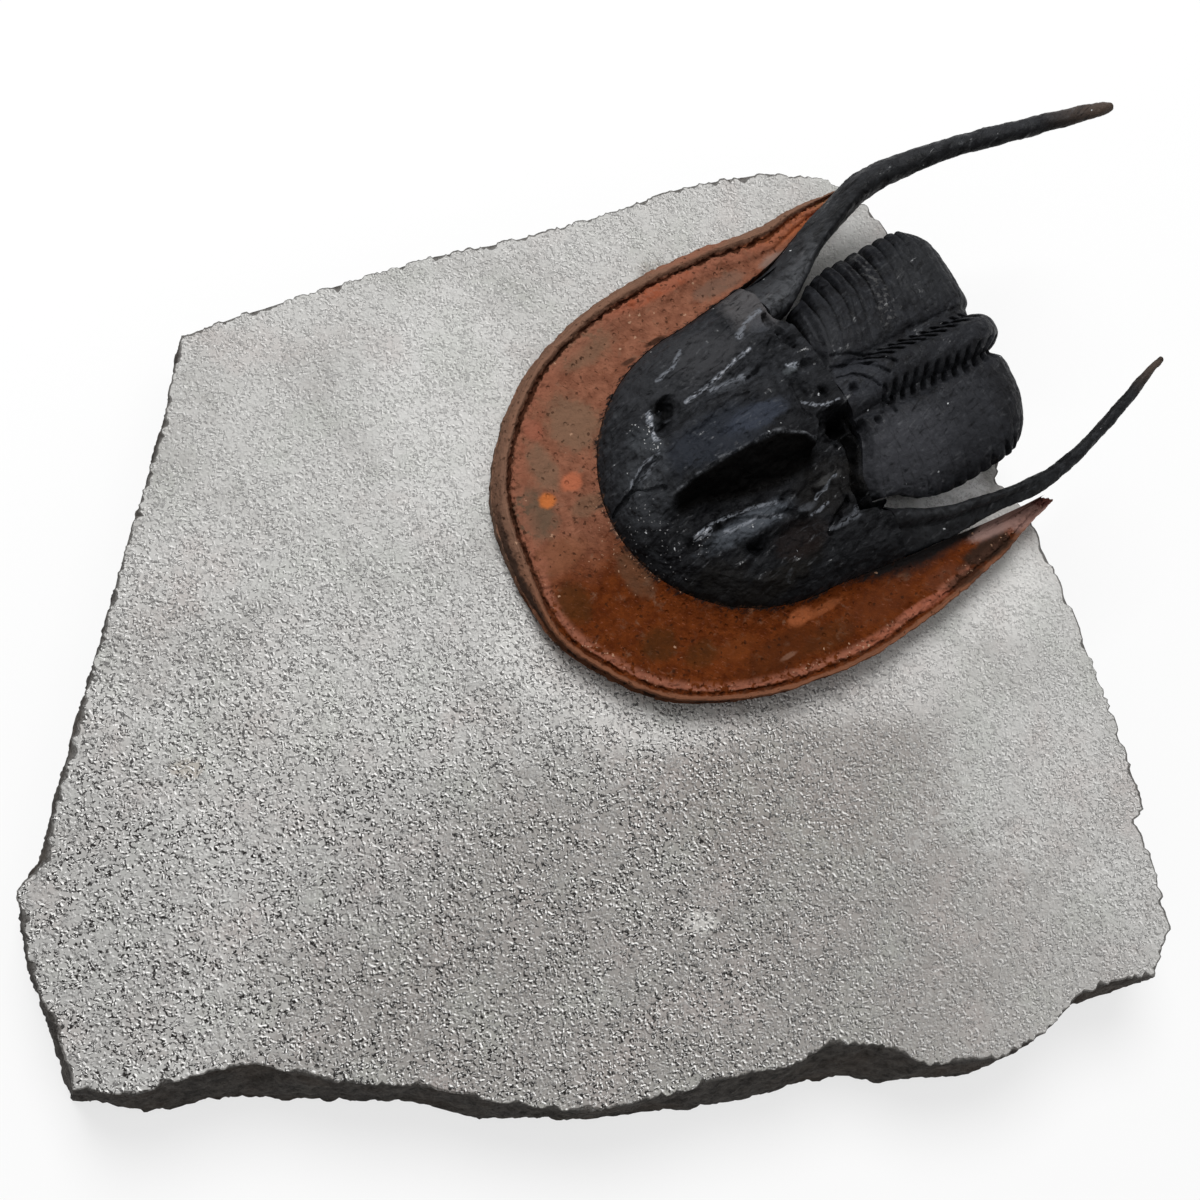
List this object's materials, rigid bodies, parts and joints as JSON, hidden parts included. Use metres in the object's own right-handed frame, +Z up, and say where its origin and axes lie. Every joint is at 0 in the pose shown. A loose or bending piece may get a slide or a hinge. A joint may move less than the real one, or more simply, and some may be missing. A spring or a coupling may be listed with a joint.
{
  "type": "trilobite fossil",
  "caption": "Harpetid trilobite fossil on its flat slab of limestone matrix: a broad horseshoe brim, a domed head, a segmented thorax curling down and two rising horns.",
  "frame": {"origin": "on the slab's flat underside, near the middle of the slab", "axes": "+Z up, out of the slab's top face; +X along the slab's longer side, towards the edge over which the thorax and the left horn reach; the animal's head points to -X and -Y"},
  "size_m": [0.1005, 0.088, 0.0236],
  "materials": {
    "limestone": "abraded fine-grained limestone with dark speckles and dark broken edges",
    "brim_rust": "matte rust-orange fossil shell, mottled",
    "brim_edge": "matte brown-grey fossil shell",
    "black_shell": "semi-gloss black fossil shell",
    "horn_shell": "satin black fossil shell",
    "segment_shell": "satin black fossil shell"
  },
  "bodies": {
    "root": {"matrix_slab": "limestone", "brim_upper_plate": "brim_rust", "brim_lower_plate": "brim_edge", "head_shield": "black_shell", "left_horn": "horn_shell", "right_horn": "horn_shell", "thorax_segment_01": "segment_shell", "thorax_segment_02": "segment_shell", "thorax_segment_03": "segment_shell", "thorax_segment_04": "segment_shell", "thorax_segment_05": "segment_shell", "thorax_segment_06": "segment_shell", "thorax_segment_07": "segment_shell", "thorax_segment_08": "segment_shell", "thorax_segment_09": "segment_shell", "thorax_segment_10": "segment_shell", "thorax_segment_11": "segment_shell", "thorax_segment_12": "segment_shell", "thorax_segment_13": "segment_shell", "thorax_segment_14": "segment_shell", "thorax_segment_15": "segment_shell", "tail_plate": "segment_shell"}
  },
  "joints": []
}
